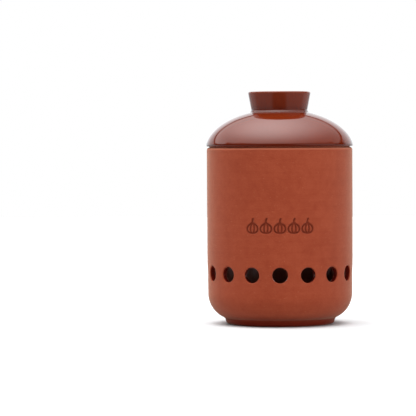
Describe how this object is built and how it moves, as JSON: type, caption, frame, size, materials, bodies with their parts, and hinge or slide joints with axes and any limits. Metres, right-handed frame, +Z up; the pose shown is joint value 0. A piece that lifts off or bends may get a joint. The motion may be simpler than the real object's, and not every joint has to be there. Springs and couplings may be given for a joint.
{
  "type": "garlic keeper",
  "caption": "Round terracotta garlic keeper with a ring of air vents low in its wall and a glazed domed lid with a flared ring knob, which lifts off.",
  "frame": {"origin": "on the surface that the pot stands on, at the pot's axis", "axes": "+Z up along the pot's axis, the front vent faces -Y, +X to the right seen from the front"},
  "size_m": [0.1264, 0.1264, 0.199],
  "materials": {
    "terracotta": "bare matte red-brown terracotta, fine sandy grain",
    "glaze": "glossy red-brown glaze"
  },
  "bodies": {
    "pot_body": {"pot": "terracotta"},
    "lid_body": {"lid": "glaze"}
  },
  "joints": [
    {"name": "lid_lift", "type": "slide", "parent": "pot_body", "child": "lid_body", "axis": [0, 0, 1], "range_m": [0, 0.08]}
  ]
}
